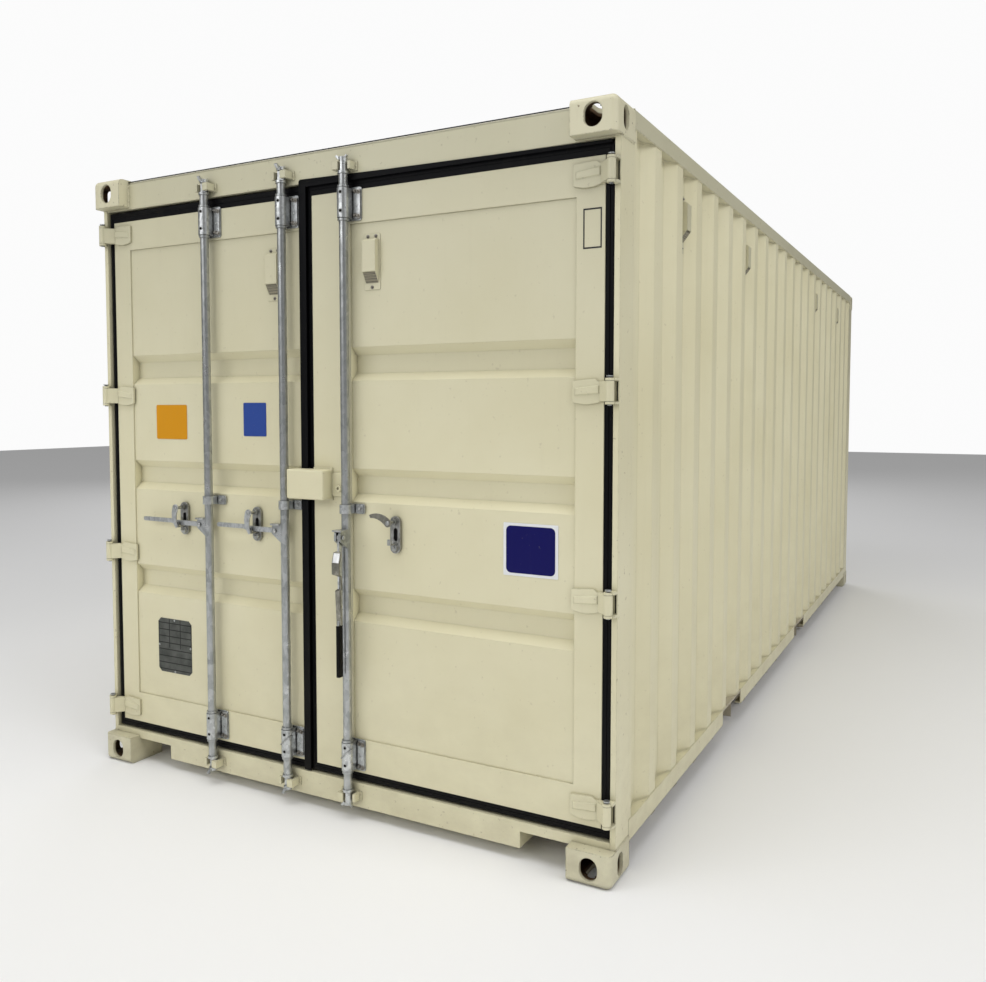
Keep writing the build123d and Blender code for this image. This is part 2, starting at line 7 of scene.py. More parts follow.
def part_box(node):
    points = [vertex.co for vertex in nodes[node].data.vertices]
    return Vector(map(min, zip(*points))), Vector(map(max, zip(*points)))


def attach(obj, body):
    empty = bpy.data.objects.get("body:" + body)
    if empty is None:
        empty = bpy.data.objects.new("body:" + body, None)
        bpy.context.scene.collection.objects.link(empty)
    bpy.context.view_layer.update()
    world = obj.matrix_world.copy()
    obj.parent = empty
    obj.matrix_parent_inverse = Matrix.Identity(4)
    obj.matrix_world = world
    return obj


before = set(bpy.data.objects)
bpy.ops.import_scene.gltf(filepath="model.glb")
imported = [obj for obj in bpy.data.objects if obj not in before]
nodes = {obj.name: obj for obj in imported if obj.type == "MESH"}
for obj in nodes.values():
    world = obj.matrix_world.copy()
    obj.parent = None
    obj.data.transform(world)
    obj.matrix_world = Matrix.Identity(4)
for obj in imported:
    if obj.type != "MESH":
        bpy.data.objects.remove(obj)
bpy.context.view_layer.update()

rad = math.radians

# Places in metres, seen from the door end
leaf_face = -2.969
plate_face = leaf_face + 0.005
bracket_face = leaf_face - 0.010
post_face = -2.977
post_side = 1.215
bar_line = -3.004
bar_x = {"left_outer": -0.580, "left_inner": -0.170, "right": 0.131}
retainer_x = {"left_outer": -0.752, "left_inner": -0.342, "right": 0.338}
bars_of = (("left", ("left_outer", "left_inner")), ("right", ("right",)))
handle_level = 1.108
handle_pivot = 0.040
retainer_bolt_level = 1.074
catch_level = 1.172
catch_face = -3.0275
guide_level = 1.212
bracket_levels = (2.362, 0.252)
keeper_levels = (2.500, 0.093)
hinge_levels = (0.246, 0.952, 1.651, 2.358)

# The folded side walls
fold_count = 21
fold_start = -2.821
fold_pitch = 0.272
wall_out = 1.2135
wall_in = 1.1775
vent_folds = (2, 6, 14, 18)

# Camera at the photograph's place, with its small crop kept as shift
look_down = 3.163
look_left = 28.579
lens = bpy.data.cameras.new("photo_camera")
lens.sensor_width = 36.0
lens.lens = 33.31
lens.shift_x = 0.0113
lens.shift_y = -0.0329
lens.clip_end = 100.0
eye = bpy.data.objects.new("photo_camera", lens)
eye.location = (2.2438, -5.7977, 1.5961)
eye.rotation_euler = (rad(90 - look_down), 0.0, rad(look_left))
bpy.context.scene.collection.objects.link(eye)
bpy.context.scene.camera = eye
bpy.context.scene.view_settings.view_transform = "Standard"

colour_socket = "NodeSocketColor"
value_socket = "NodeSocketFloat"
vector_socket = "NodeSocketVector"
even = (1, 1, 1)


# Shader helpers
def new_group(name, inputs, outputs):
    tree = bpy.data.node_groups.new(name, "ShaderNodeTree")
    for label, kind, value in inputs:
        socket = tree.interface.new_socket(name=label, in_out="INPUT", socket_type=kind)
        socket.default_value = value
    for label, kind in outputs:
        tree.interface.new_socket(name=label, in_out="OUTPUT", socket_type=kind)
    return tree, tree.nodes.new("NodeGroupInput"), tree.nodes.new("NodeGroupOutput")


def feed(tree, source, socket):
    # a socket takes another node's output or a plain value
    if hasattr(source, "is_output"):
        tree.links.new(source, socket)
    else:
        socket.default_value = source


def add(tree, kind, links=(), **values):
    node = tree.nodes.new(kind)
    for key, value in values.items():
        setattr(node, key, value)
    for socket, source in links:
        feed(tree, source, node.inputs[socket])
    return node


def object_axes(tree):
    place = add(tree, "ShaderNodeTexCoord")
    return add(tree, "ShaderNodeSeparateXYZ", [("Vector", place.outputs["Object"])]).outputs


def stretched(tree, size):
    place = add(tree, "ShaderNodeTexCoord")
    return add(tree, "ShaderNodeMapping",
               [("Vector", place.outputs["Object"]), ("Scale", size)]).outputs["Vector"]


def noise(tree, size, scale, detail=3.0, rough=0.55):
    links = [("Vector", stretched(tree, size)), ("Scale", scale), ("Detail", detail), ("Roughness", rough)]
    return add(tree, "ShaderNodeTexNoise", links).outputs["Fac"]


def between(tree, value, low, high, to_low=0.0, to_high=1.0):
    links = [("Value", value), ("From Min", low), ("From Max", high), ("To Min", to_low), ("To Max", to_high)]
    return add(tree, "ShaderNodeMapRange", links).outputs["Result"]


def maths(tree, how, a, b=0.0):
    return add(tree, "ShaderNodeMath", [(0, a), (1, b)], operation=how).outputs["Value"]


def blend_colour(tree, factor, a, b, how="MIX"):
    # the mix node takes its colours at sockets 6 and 7 and gives one at 2
    node = add(tree, "ShaderNodeMix", [(0, factor), (6, a), (7, b)], data_type="RGBA", blend_type=how)
    return node.outputs[2]


def raise_surface(tree, surface, strength, depth, height, normal=None):
    links = [("Strength", strength), ("Distance", depth), ("Height", height)]
    if normal is not None:
        links.append(("Normal", normal))
    bump = add(tree, "ShaderNodeBump", links)
    tree.links.new(bump.outputs["Normal"], surface.inputs["Normal"])
    return bump


def dimmed(colour, share):
    return (*[c * s for c, s in zip(colour, share)], 1)


# Surface effects that several finishes share
def weathering_group():
    # slow tint, rain streaks, dust near the ground and a few specks
    tree, given, result = new_group(
        "weathering",
        [("Colour", colour_socket, (0.7, 0.65, 0.5, 1)), ("Dirt Colour", colour_socket, (0.2, 0.16, 0.1, 1)),
         ("Tint", value_socket, 0.5), ("Streaks", value_socket, 0.3), ("Dust", value_socket, 0.3),
         ("Specks", value_socket, 0.2)],
        [("Colour", colour_socket), ("Dirt", value_socket)])
    slow = maths(tree, "MULTIPLY", between(tree, noise(tree, even, 1.7, 4), 0.3, 0.7), given.outputs["Tint"])
    lighter = blend_colour(tree, slow, given.outputs["Colour"], (1, 1, 1, 1), "SOFT_LIGHT")
    runs = between(tree, noise(tree, (16, 16, 0.9), 2.2, 5, 0.6), 0.56, 0.78)
    streak = maths(tree, "MULTIPLY", runs, given.outputs["Streaks"])
    low = between(tree, object_axes(tree)["Z"], 0.9, 0.0)
    cloud = between(tree, noise(tree, (1, 1, 1.6), 7.0, 6, 0.65), 0.35, 0.75)
    dust = maths(tree, "MULTIPLY", maths(tree, "MULTIPLY", low, cloud), given.outputs["Dust"])
    spots = between(tree, noise(tree, even, 62, 2, 0.5), 0.70, 0.74)
    speck = maths(tree, "MULTIPLY", spots, given.outputs["Specks"])
    dirt = maths(tree, "MAXIMUM", maths(tree, "MAXIMUM", streak, dust), speck)
    tree.links.new(blend_colour(tree, dirt, lighter, given.outputs["Dirt Colour"]), result.inputs["Colour"])
    tree.links.new(dirt, result.inputs["Dirt"])
    return tree


def skin_group():
    # sprayed paint: fine orange peel over a slow ripple
    tree, given, result = new_group(
        "sprayed_skin",
        [("Peel", value_socket, 0.5), ("Ripple", value_socket, 0.5)],
        [("Height", value_socket)])
    peel = maths(tree, "MULTIPLY", noise(tree, even, 260, 2, 0.5), given.outputs["Peel"])
    ripple = maths(tree, "MULTIPLY", noise(tree, even, 3.0, 2, 0.4), given.outputs["Ripple"])
    tree.links.new(maths(tree, "ADD", peel, ripple), result.inputs["Height"])
    return tree


def edge_group():
    # broken wear where two faces meet, and a normal that rounds the edge
    tree, given, result = new_group(
        "worn_edge",
        [("Width", value_socket, 0.004), ("Amount", value_socket, 0.5)],
        [("Mask", value_socket), ("Normal", vector_socket)])
    soft = add(tree, "ShaderNodeBevel", [("Radius", given.outputs["Width"])], samples=4)
    flat = add(tree, "ShaderNodeNewGeometry")
    meet = add(tree, "ShaderNodeVectorMath", [(0, soft.outputs["Normal"]), (1, flat.outputs["Normal"])],
               operation="DOT_PRODUCT")
    edge = between(tree, meet.outputs["Value"], 0.98, 0.80)
    broken = between(tree, noise(tree, even, 38, 5, 0.7), 0.50, 0.62)
    worn = maths(tree, "MULTIPLY", maths(tree, "MULTIPLY", edge, broken), given.outputs["Amount"])
    tree.links.new(worn, result.inputs["Mask"])
    tree.links.new(soft.outputs["Normal"], result.inputs["Normal"])
    return tree


def corner_shade_group():
    # painted shade where faces close in on each other, standing for the light they keep out
    tree, given, result = new_group(
        "painted_corner_shade",
        [("Reach", value_socket, 0.02), ("Amount", value_socket, 0.5)],
        [("Mask", value_socket)])
    closed = add(tree, "ShaderNodeAmbientOcclusion", [("Distance", given.outputs["Reach"])], samples=4)
    near = between(tree, closed.outputs["AO"], 0.85, 0.25)
    tree.links.new(maths(tree, "MULTIPLY", near, given.outputs["Amount"]), result.inputs["Mask"])
    return tree


def spangle_group():
    # zinc crystals and the dull film over them
    tree, given, result = new_group(
        "zinc_spangle",
        [("Bright", colour_socket, (0.6, 0.62, 0.64, 1)), ("Dull", colour_socket, (0.35, 0.37, 0.38, 1)),
         ("Size", value_socket, 90.0)],
        [("Colour", colour_socket), ("Roughness", value_socket), ("Height", value_socket)])
    cells = add(tree, "ShaderNodeTexVoronoi",
                [("Vector", stretched(tree, (1, 1, 0.6))), ("Scale", given.outputs["Size"])])
    grey = add(tree, "ShaderNodeSeparateXYZ", [("Vector", cells.outputs["Color"])]).outputs["X"]
    darkening = between(tree, noise(tree, even, 14, 5, 0.6), 0.3, 0.7)
    mix = maths(tree, "ADD", maths(tree, "MULTIPLY", grey, 0.5), maths(tree, "MULTIPLY", darkening, 0.5))
    zinc_tone = blend_colour(tree, mix, given.outputs["Bright"], given.outputs["Dull"])
    tree.links.new(zinc_tone, result.inputs["Colour"])
    tree.links.new(between(tree, mix, 0.0, 1.0, 0.24, 0.44), result.inputs["Roughness"])
    tree.links.new(noise(tree, even, 180, 3, 0.6), result.inputs["Height"])
    return tree


weathering = weathering_group()
sprayed_skin = skin_group()
worn_edge = edge_group()
painted_corner_shade = corner_shade_group()
zinc_spangle = spangle_group()


# Finishes
def place_group(tree, group, **values):
    node = tree.nodes.new("ShaderNodeGroup")
    node.node_tree = group
    for key, value in values.items():
        node.inputs[key.replace("_", " ")].default_value = value
    return node


def shader(name, roughness=0.5, metallic=0.0):
    material = bpy.data.materials.new(name)
    material.use_nodes = True
    surface = material.node_tree.nodes["Principled BSDF"]
    surface.inputs["Roughness"].default_value = roughness
    surface.inputs["Metallic"].default_value = metallic
    return material, material.node_tree, surface


def paint(name, colour, dirt, roughness=0.42, tint=0.25, streaks=0.05, dust=0.25, specks=0.2, peel=0.3,
          ripple=0.3, wear=0.4, width=0.004, corner_shade=0.45, reach=0.030, darkening=0.0):
    # painted shade: the paint darkens above the first height and is fully darker at the second, standing for
    # the dimmer light near the top
    top_shade_from, top_shade_to = 1.35, 2.55
    top_shade_tone, corner_shade_tone, bare_tone = (0.56, 0.58, 0.64), (0.30, 0.30, 0.30), (0.45, 0.45, 0.45)
    material, tree, surface = shader(name, roughness)
    weather = place_group(tree, weathering, Colour=(*colour, 1), Dirt_Colour=(*dirt, 1), Tint=tint,
                          Streaks=streaks, Dust=dust, Specks=specks)
    edge = place_group(tree, worn_edge, Width=width, Amount=wear)
    skin = place_group(tree, sprayed_skin, Peel=peel, Ripple=ripple)
    corner = place_group(tree, painted_corner_shade, Reach=reach, Amount=corner_shade)
    # painted shade, darker towards the top
    top_shaded = maths(tree, "MULTIPLY", between(tree, object_axes(tree)["Z"], top_shade_from, top_shade_to), darkening)
    upper = blend_colour(tree, top_shaded, weather.outputs["Colour"], dimmed(colour, top_shade_tone))
    # painted shade: corners, creases and recesses take a darker copy of the colour
    shaded = blend_colour(tree, corner.outputs["Mask"], upper, dimmed(colour, corner_shade_tone))
    worn = blend_colour(tree, edge.outputs["Mask"], shaded, dimmed(dirt, bare_tone))
    tree.links.new(worn, surface.inputs["Base Color"])
    rough = between(tree, weather.outputs["Dirt"], 0.0, 1.0, roughness, 0.85)
    tree.links.new(rough, surface.inputs["Roughness"])
    raise_surface(tree, surface, 0.35, 0.002, skin.outputs["Height"], edge.outputs["Normal"])
    return material


def rusty_inside(material):
    # the hollow of each casting is bare and brown
    half_height = 1.2955
    soft_edge = 0.006
    tree = material.node_tree
    surface = tree.nodes["Principled BSDF"]
    axes = object_axes(tree)
    inside = 1.0
    for axis, middle, hollow, reach in (("X", 0.0, 1.138, 0.0665), ("Y", 0.0, 2.940, 0.0745),
                                        ("Z", half_height, 1.2350, 0.0420)):
        away = maths(tree, "ABSOLUTE", maths(tree, "SUBTRACT", axes[axis], middle))
        near = maths(tree, "ABSOLUTE", maths(tree, "SUBTRACT", away, hollow))
        inside = maths(tree, "MULTIPLY", inside, between(tree, near, reach + soft_edge, reach))
    blotch = between(tree, noise(tree, even, 30, 6, 0.65), 0.35, 0.65)
    brown = blend_colour(tree, blotch, (0.115, 0.060, 0.022, 1), (0.045, 0.028, 0.014, 1))
    colour = surface.inputs["Base Color"].links[0].from_socket
    tree.links.new(blend_colour(tree, inside, colour, brown), surface.inputs["Base Color"])
    rough = surface.inputs["Roughness"].links[0].from_socket
    rusted = maths(tree, "MAXIMUM", rough, maths(tree, "MULTIPLY", inside, 0.9))
    tree.links.new(rusted, surface.inputs["Roughness"])


def zinc(name, bright, dull, size=90.0, corner_shade=0.85, reach=0.020, polish=0.5):
    material, tree, surface = shader(name, 0.4, 0.85)
    crystals = place_group(tree, zinc_spangle, Bright=(*bright, 1), Dull=(*dull, 1), Size=size)
    edge = place_group(tree, worn_edge, Width=0.0025, Amount=polish)
    corner = place_group(tree, painted_corner_shade, Reach=reach, Amount=corner_shade)
    rubbed = blend_colour(tree, edge.outputs["Mask"], crystals.outputs["Colour"], (0.80, 0.81, 0.80, 1))
    # painted shade: crevices turn near-black
    corner_shaded = blend_colour(tree, corner.outputs["Mask"], rubbed, (0.030, 0.028, 0.024, 1))
    tree.links.new(corner_shaded, surface.inputs["Base Color"])
    tree.links.new(crystals.outputs["Roughness"], surface.inputs["Roughness"])
    raise_surface(tree, surface, 0.25, 0.001, crystals.outputs["Height"], edge.outputs["Normal"])
    return material


def rubber(name, colour):
    material, tree, surface = shader(name, 0.6)
    weather = place_group(tree, weathering, Colour=(*colour, 1), Dirt_Colour=(0.09, 0.08, 0.06, 1), Tint=0.1,
                          Streaks=0.06, Dust=0.12, Specks=0.1)
    tree.links.new(weather.outputs["Colour"], surface.inputs["Base Color"])
    surface.inputs["Specular IOR Level"].default_value = 0.12
    rough = between(tree, weather.outputs["Dirt"], 0.0, 1.0, 0.5, 0.9)
    tree.links.new(rough, surface.inputs["Roughness"])
    raise_surface(tree, surface, 0.3, 0.001, noise(tree, even, 120, 3))
    return material


def plywood(name):
    # each board has its own tone, counted along the floor and either side of the middle
    deck_end = 2.851
    boards_per_metre = 0.8606
    right_side = 7.0
    material, tree, surface = shader(name, 0.6)
    grain = noise(tree, (60, 2.5, 60), 1.0, 8, 0.65)
    rings = noise(tree, (9, 0.5, 9), 1.0, 4, 0.5)
    lines = between(tree, grain, 0.35, 0.7)
    brown = blend_colour(tree, lines, (0.30, 0.15, 0.07, 1), (0.13, 0.055, 0.025, 1))
    red = blend_colour(tree, between(tree, rings, 0.4, 0.65), brown, (0.22, 0.085, 0.04, 1))
    axes = object_axes(tree)
    from_end = maths(tree, "ADD", axes["Y"], deck_end)
    along = maths(tree, "FLOOR", maths(tree, "MULTIPLY", from_end, boards_per_metre))
    side = maths(tree, "MULTIPLY", maths(tree, "GREATER_THAN", axes["X"], 0.0), right_side)
    board = add(tree, "ShaderNodeTexWhiteNoise", [("W", maths(tree, "ADD", along, side))],
                noise_dimensions="1D")
    tone = between(tree, board.outputs["Value"], 0.0, 1.0, 0.0, 0.40)
    scuffs = between(tree, noise(tree, (1.2, 0.5, 1), 5.0, 6, 0.65), 0.50, 0.72, 0.0, 0.55)
    toned = blend_colour(tree, tone, red, (0.075, 0.036, 0.020, 1))
    tree.links.new(blend_colour(tree, scuffs, toned, (0.33, 0.22, 0.14, 1)), surface.inputs["Base Color"])
    tree.links.new(between(tree, grain, 0.3, 0.7, 0.45, 0.7), surface.inputs["Roughness"])
    raise_surface(tree, surface, 0.4, 0.001, grain)
    return material


def printed(name, colour, roughness=0.35, wear=0.3):
    material = paint(name, colour, (0.25, 0.22, 0.17), roughness, tint=0.02, streaks=0.03, dust=0.05,
                     specks=wear, peel=0.05, ripple=0.05, wear=0.2, width=0.001)
    material.node_tree.nodes["Principled BSDF"].inputs["Specular IOR Level"].default_value = 0.18
    return material


def gauze(name):
    holes_per_metre = 190.0
    material, tree, surface = shader(name, 0.6, 0.3)
    links = [("Vector", stretched(tree, even)), ("Scale", holes_per_metre), ("Randomness", 0.0)]
    holes = add(tree, "ShaderNodeTexVoronoi", links, feature="F1")
    # the holes are painted near-black: painted shade seen through the mesh
    hole = between(tree, holes.outputs["Distance"], 0.30, 0.42)
    wire = blend_colour(tree, hole, (0.035, 0.033, 0.028, 1), (0.30, 0.275, 0.20, 1))
    tree.links.new(wire, surface.inputs["Base Color"])
    raise_surface(tree, surface, 0.6, 0.001, hole)
    return material


def ruled(name):
    # grey plate with pressed rows, and columns in its upper part
    rows_per_metre = 34.0
    columns_per_metre = 15.2
    columns_from = 0.5399
    material, tree, surface = shader(name, 0.42, 0.7)
    axes = object_axes(tree)
    rows = maths(tree, "FRACT", maths(tree, "MULTIPLY", axes["Z"], rows_per_metre))
    line = maths(tree, "LESS_THAN", rows, 0.16)
    from_left = maths(tree, "ADD", axes["X"], 0.87)
    columns = maths(tree, "FRACT", maths(tree, "MULTIPLY", from_left, columns_per_metre))
    upper = between(tree, axes["Z"], columns_from, columns_from + 0.0002)
    post = maths(tree, "MULTIPLY", maths(tree, "LESS_THAN", columns, 0.07), upper)
    mark = maths(tree, "MAXIMUM", line, post)
    darkening = between(tree, noise(tree, even, 22, 5, 0.6), 0.3, 0.7)
    grey = blend_colour(tree, darkening, (0.125, 0.130, 0.118, 1), (0.075, 0.080, 0.072, 1))
    tree.links.new(blend_colour(tree, mark, grey, (0.030, 0.032, 0.029, 1)), surface.inputs["Base Color"])
    tree.links.new(between(tree, darkening, 0.0, 1.0, 0.38, 0.6), surface.inputs["Roughness"])
    raise_surface(tree, surface, 0.5, 0.001, mark).invert = True
    return material


cream = (0.715, 0.668, 0.448)
soil = (0.30, 0.24, 0.15)
wall_paint = paint("wall_paint", cream, soil, streaks=0.06, dust=0.20, ripple=0.5, wear=0.10, width=0.008)
frame_paint = paint("frame_paint", (0.690, 0.648, 0.436), soil, streaks=0.05, dust=0.28, specks=0.45,
                    wear=0.45, corner_shade=0.60, darkening=0.50)
door_paint = paint("door_paint", cream, soil, streaks=0.03, dust=0.16, ripple=0.6, wear=0.12, darkening=0.50)
post_paint = paint("post_paint", cream, soil, streaks=0.05, dust=0.28, specks=0.45, wear=0.40, corner_shade=0.60,
                   darkening=0.12)
casting_paint = paint("casting_paint", (0.635, 0.598, 0.415), (0.20, 0.15, 0.085), peel=1.2, specks=0.8,
                      dust=0.35, streaks=0.12, wear=0.85, width=0.006, corner_shade=0.6)
rusty_inside(casting_paint)
under_paint = paint("under_paint", (0.50, 0.45, 0.33), (0.14, 0.11, 0.08), dust=0.6, specks=0.4, wear=0.4)
bar_zinc = zinc("bar_zinc", (0.56, 0.575, 0.575), (0.29, 0.305, 0.305), 60.0, corner_shade=0.6, polish=0.1)
fitting_zinc = zinc("fitting_zinc", (0.74, 0.76, 0.76), (0.33, 0.345, 0.35), 120.0, corner_shade=0.95, reach=0.011)
# lighter zinc for the painted highlight on the hanging handle's bend
highlight_zinc = zinc("highlight_zinc", (0.88, 0.89, 0.88), (0.70, 0.71, 0.71), 150.0, corner_shade=0.4, reach=0.004)
worn_zinc = zinc("worn_zinc", (0.50, 0.505, 0.48), (0.20, 0.20, 0.185), 130.0, reach=0.010)
aged_zinc = zinc("aged_zinc", (0.34, 0.33, 0.28), (0.16, 0.155, 0.13), 140.0, reach=0.009)
bolt_zinc = zinc("bolt_zinc", (0.62, 0.63, 0.62), (0.30, 0.31, 0.31), 200.0, corner_shade=0.7, reach=0.008)
screw_steel = zinc("screw_steel", (0.42, 0.40, 0.36), (0.22, 0.20, 0.17), 220.0)
seal_rubber = rubber("seal_rubber", (0.0022, 0.0024, 0.0032))
grip_plastic = rubber("grip_plastic", (0.0025, 0.0024, 0.0025))
# near-black used as painted shade in holes, slots and gaps, and for the dark line along the header
hole_dark = rubber("hole_dark", (0.010, 0.009, 0.008))
deck_wood = plywood("deck_wood")
vent_gauze = gauze("vent_gauze")
plate_grey = ruled("plate_grey")
plate_orange = printed("plate_orange", (0.66, 0.29, 0.010))
plate_blue = printed("plate_blue", (0.030, 0.070, 0.30))
panel_blue = printed("panel_blue", (0.0020, 0.0018, 0.092))
panel_white = printed("panel_white", (0.80, 0.81, 0.82))
frame_line = printed("frame_line", (0.03, 0.03, 0.032))

finish_of = {
    "corner_castings_top": casting_paint, "corner_castings_bottom": casting_paint,
    "left_side_wall": wall_paint, "right_side_wall": wall_paint, "front_wall": wall_paint,
    "roof_panel": wall_paint, "floor_boards": deck_wood, "cross_members": under_paint,
    "fork_pockets": under_paint, "rear_corner_posts": post_paint, "cam_keepers": frame_paint,
    "right_handle_retainer": worn_zinc, "left_handle_retainers": worn_zinc, "right_catch": aged_zinc,
    "right_handle_grip": grip_plastic, "hinge_pins": fitting_zinc, "lock_box": door_paint,
}
finish_by_ending = (
    (("gasket",), seal_rubber),
    (("_bar",), bar_zinc),
    (("_cams", "_handle", "_catch", "bar_brackets"), fitting_zinc),
    (("door_panel", "door_frame", "door_vent"), door_paint),
    (("",), frame_paint),
)


def finish_for(name):
    if name in finish_of:
        return finish_of[name]
    return next(finish for endings, finish in finish_by_ending if name.endswith(endings))


for name, node in nodes.items():
    node.data.materials.clear()
    node.data.materials.append(finish_for(name))


# Piece helpers
def finish_piece(name, shape, material, body, smooth=30.0):
    bmesh.ops.remove_doubles(shape, verts=shape.verts, dist=1e-6)
    bmesh.ops.recalc_face_normals(shape, faces=shape.faces)
    mesh = bpy.data.meshes.new(name)
    shape.to_mesh(mesh)
    shape.free()
    mesh.materials.append(material)
    mesh.set_sharp_from_angle(angle=rad(smooth))
    for face in mesh.polygons:
        face.use_smooth = True
    piece = bpy.data.objects.new(name, mesh)
    bpy.context.scene.collection.objects.link(piece)
    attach(piece, body)
    return piece


def ease(shape, edges, offset, segments, clamp=False):
    bmesh.ops.bevel(shape, geom=edges, offset=offset, segments=segments, profile=0.5, affect="EDGES",
                    material=-1, clamp_overlap=clamp)


def edges_at(shape, depth):
    return [e for e in shape.edges if all(abs(v.co.y - depth) < 1e-6 for v in e.verts)]


def slab(shape, low, high, edge=0.0):
    made = bmesh.ops.create_cube(shape, size=1.0)["verts"]
    size = [b - a for a, b in zip(low, high)]
    middle = [(a + b) / 2 for a, b in zip(low, high)]
    bmesh.ops.transform(shape, matrix=Matrix.Translation(middle) @ Matrix.Diagonal((*size, 1)), verts=made)
    if edge:
        ease(shape, list({e for v in made for e in v.link_edges}), edge, 2, clamp=True)


def facing(place, way):
    turn = Vector((0, 0, 1)).rotation_difference(Vector(way)).to_matrix().to_4x4()
    return Matrix.Translation(place) @ turn


def raised(distance):
    return Matrix.Translation((0, 0, distance))


def cone(shape, at, foot, head, depth, sides=20):
    made = bmesh.ops.create_cone(shape, cap_ends=True, segments=sides, radius1=foot, radius2=head,
                                 depth=depth)["verts"]
    bmesh.ops.transform(shape, matrix=at, verts=made)


def bolt(shape, place, way=(0, -1, 0), across=0.015, high=0.006, turn=0.0):
    # washer, six-sided head and the thread end standing out of it
    at = facing(place, way)
    spin = Matrix.Rotation(turn, 4, "Z")
    washer, half = across * 0.86, across / 2
    cone(shape, at @ raised(0.0009) @ spin, washer, washer * 0.95, 0.0018, sides=20)
    cone(shape, at @ raised(high / 2 + 0.0016) @ spin, half, half * 0.95, high, sides=6)
    cone(shape, at @ raised(high + 0.0035), across * 0.27, across * 0.22, 0.005, sides=12)


def rivet(shape, place, way=(0, -1, 0), radius=0.006, high=0.003):
    made = bmesh.ops.create_uvsphere(shape, u_segments=16, v_segments=8, radius=radius)["verts"]
    flatter = Matrix.Diagonal((1, 1, high / radius, 1))
    bmesh.ops.transform(shape, matrix=facing(place, way) @ flatter, verts=made)


def run(shape, points, radius, closed=False):
    # a round bead along a line of points
    curve = bpy.data.curves.new("bead_line", "CURVE")
    curve.dimensions = "3D"
    curve.bevel_depth = radius
    curve.bevel_resolution = 2
    curve.use_fill_caps = not closed
    line = curve.splines.new("POLY")
    line.points.add(len(points) - 1)
    for point, where in zip(line.points, points):
        point.co = (*where, 1)
    line.use_cyclic_u = closed
    holder = bpy.data.objects.new("bead_line", curve)
    mesh = bpy.data.meshes.new_from_object(holder)
    shape.from_mesh(mesh)
    bpy.data.objects.remove(holder)
    bpy.data.curves.remove(curve)
    bpy.data.meshes.remove(mesh)


def weld(shape, start, end, radius=0.004, pitch=0.009):
    # a welded bead swells and narrows along its run
    start, end = Vector(start), Vector(end)
    steps = max(3, int((end - start).length / pitch))
    first = len(shape.verts)
    run(shape, [start.lerp(end, k / steps) for k in range(steps + 1)], radius)
    shape.verts.ensure_lookup_table()
    way = (end - start).normalized()
    for v in shape.verts[first:]:
        along = (v.co - start).dot(way)
        centre = start + way * along
        ring = 1.0 + 0.22 * math.sin(along * 900) + 0.15 * math.sin(along * 211 + start.x * 40)
        v.co = centre + (v.co - centre) * ring


def door_of(name):
    return "right" if name == "right" else "left"


# Bolts and rivets that hold the brackets, guides and retainers
def lock_fasteners():
    bracket_bolts = ((0.036, 0.046), (0.051, 0.043), (0.036, -0.043), (0.051, -0.047))
    for side, names in bars_of:
        heads = bmesh.new()
        dark = bmesh.new()
        for name in names:
            x = bar_x[name]
            for level in bracket_levels:
                for k, (dx, dz) in enumerate(bracket_bolts):
                    place = (x + dx, bracket_face, level + dz)
                    bolt(dark, place, across=0.0105, high=0.005, turn=0.4 * k + x)
                rivet(heads, (x + 0.041, bracket_face, level - 0.006), radius=0.0050, high=0.004)
            bolt(heads, (x + 0.047, leaf_face - 0.009, guide_level), turn=x)
            place = (retainer_x[name], leaf_face - 0.016, retainer_bolt_level)
            bolt(heads, place, across=0.014, turn=x * 3)
        finish_piece(side + "_lock_bolts", heads, bolt_zinc, side + "_door")
        finish_piece(side + "_bracket_bolts", dark, screw_steel, side + "_door")


def sleeve_holes():
    # two grease holes in the front of each sleeve, each a dark disc painted as the shade inside it, with a
    # pressed rim
    way = Vector((0.156, -0.988, 0)).normalized()
    hole_radius, rim_radius, rim_points = 0.0052, 0.0062, 16
    levels = [level + offset for level in bracket_levels for offset in (0.038, -0.031)]
    for side, names in bars_of:
        dark = bmesh.new()
        rims = bmesh.new()
        for x in [bar_x[name] for name in names]:
            for level in levels:
                where = Vector((x, bar_line, level)) + way * 0.0240
                at = facing(where, way)
                cone(dark, at, hole_radius, hole_radius, 0.0016, sides=16)
                angles = [math.tau * k / rim_points for k in range(rim_points)]
                ring = [at @ Vector((math.cos(a) * rim_radius, math.sin(a) * rim_radius, 0.0))
                        for a in angles]
                run(rims, ring, 0.0009, closed=True)
        finish_piece(side + "_sleeve_holes", dark, hole_dark, side + "_door")
        finish_piece(side + "_sleeve_rims", rims, bolt_zinc, side + "_door")


def pivot_heads():
    # the handle's pivot shows either side of its hub, and a rivet holds each catch
    for name, x in bar_x.items():
        pins = bmesh.new()
        for s in (-1, 1):
            if name == "right":
                place, way = (x + s * 0.0190, bar_line - handle_pivot, handle_level), (s, 0, 0)
            else:
                place, way = (x - handle_pivot, bar_line + s * 0.0190, handle_level), (0, s, 0)
            rivet(pins, place, way, 0.009, 0.0045)
        finish_piece(name + "_pivot_heads", pins, bolt_zinc, name + "_bar")
        cap = bmesh.new()
        at = facing((retainer_x[name], catch_face, catch_level), (0, -1, 0))
        cone(cap, at, 0.0050, 0.0050, 0.0020)
        cone(cap, at @ raised(0.0022), 0.0088, 0.0060, 0.0028)
        finish_piece(name + "_catch_rivet", cap, bolt_zinc, door_of(name) + "_door")


def keeper_rivets():
    heads = bmesh.new()
    for x in bar_x.values():
        for level in keeper_levels:
            for s in (-1, 1):
                rivet(heads, (x + s * 0.0435, -2.981, level), radius=0.0045)
    finish_piece("keeper_rivets", heads, frame_paint, "container")


